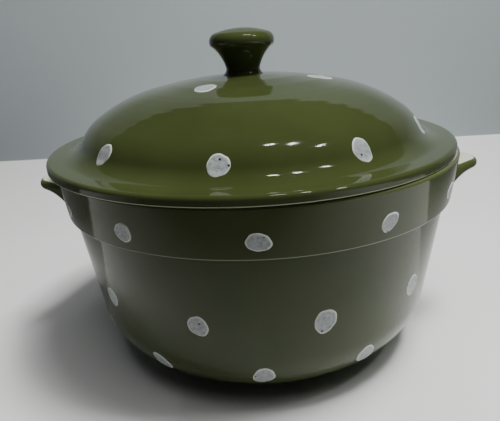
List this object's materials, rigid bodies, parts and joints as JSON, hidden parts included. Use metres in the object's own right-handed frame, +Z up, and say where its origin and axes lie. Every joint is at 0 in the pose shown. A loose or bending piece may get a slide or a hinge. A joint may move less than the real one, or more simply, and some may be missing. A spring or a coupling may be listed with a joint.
{
  "type": "covered casserole dish",
  "caption": "Round glazed ceramic casserole with a stepped collar, two solid lug handles, raised spots and a domed lid that lifts off by its mushroom knob.",
  "frame": {"origin": "centre of the circle that the foot ring stands on, at table height", "axes": "+Z up along the bowl's axis, +X through the two lugs towards the right one, +Y towards the back"},
  "size_m": [0.24, 0.21, 0.167],
  "materials": {
    "body_glaze": "glossy olive green glaze over earthenware",
    "lid_glaze": "glossy olive green glaze over earthenware",
    "spot_enamel": "thick hand-dabbed white slip under glaze"
  },
  "bodies": {
    "bowl": {"bowl": "body_glaze", "left_lug": "body_glaze", "right_lug": "body_glaze", "collar_spots": "spot_enamel", "side_spots": "spot_enamel", "base_spots": "spot_enamel"},
    "lid": {"lid": "lid_glaze", "knob": "lid_glaze", "lid_lower_spots": "spot_enamel", "lid_upper_spots": "spot_enamel"}
  },
  "joints": [
    {"name": "lid_lift", "type": "slide", "parent": "bowl", "child": "lid", "axis": [0, 0, 1], "range_m": [0, 0.15]}
  ]
}
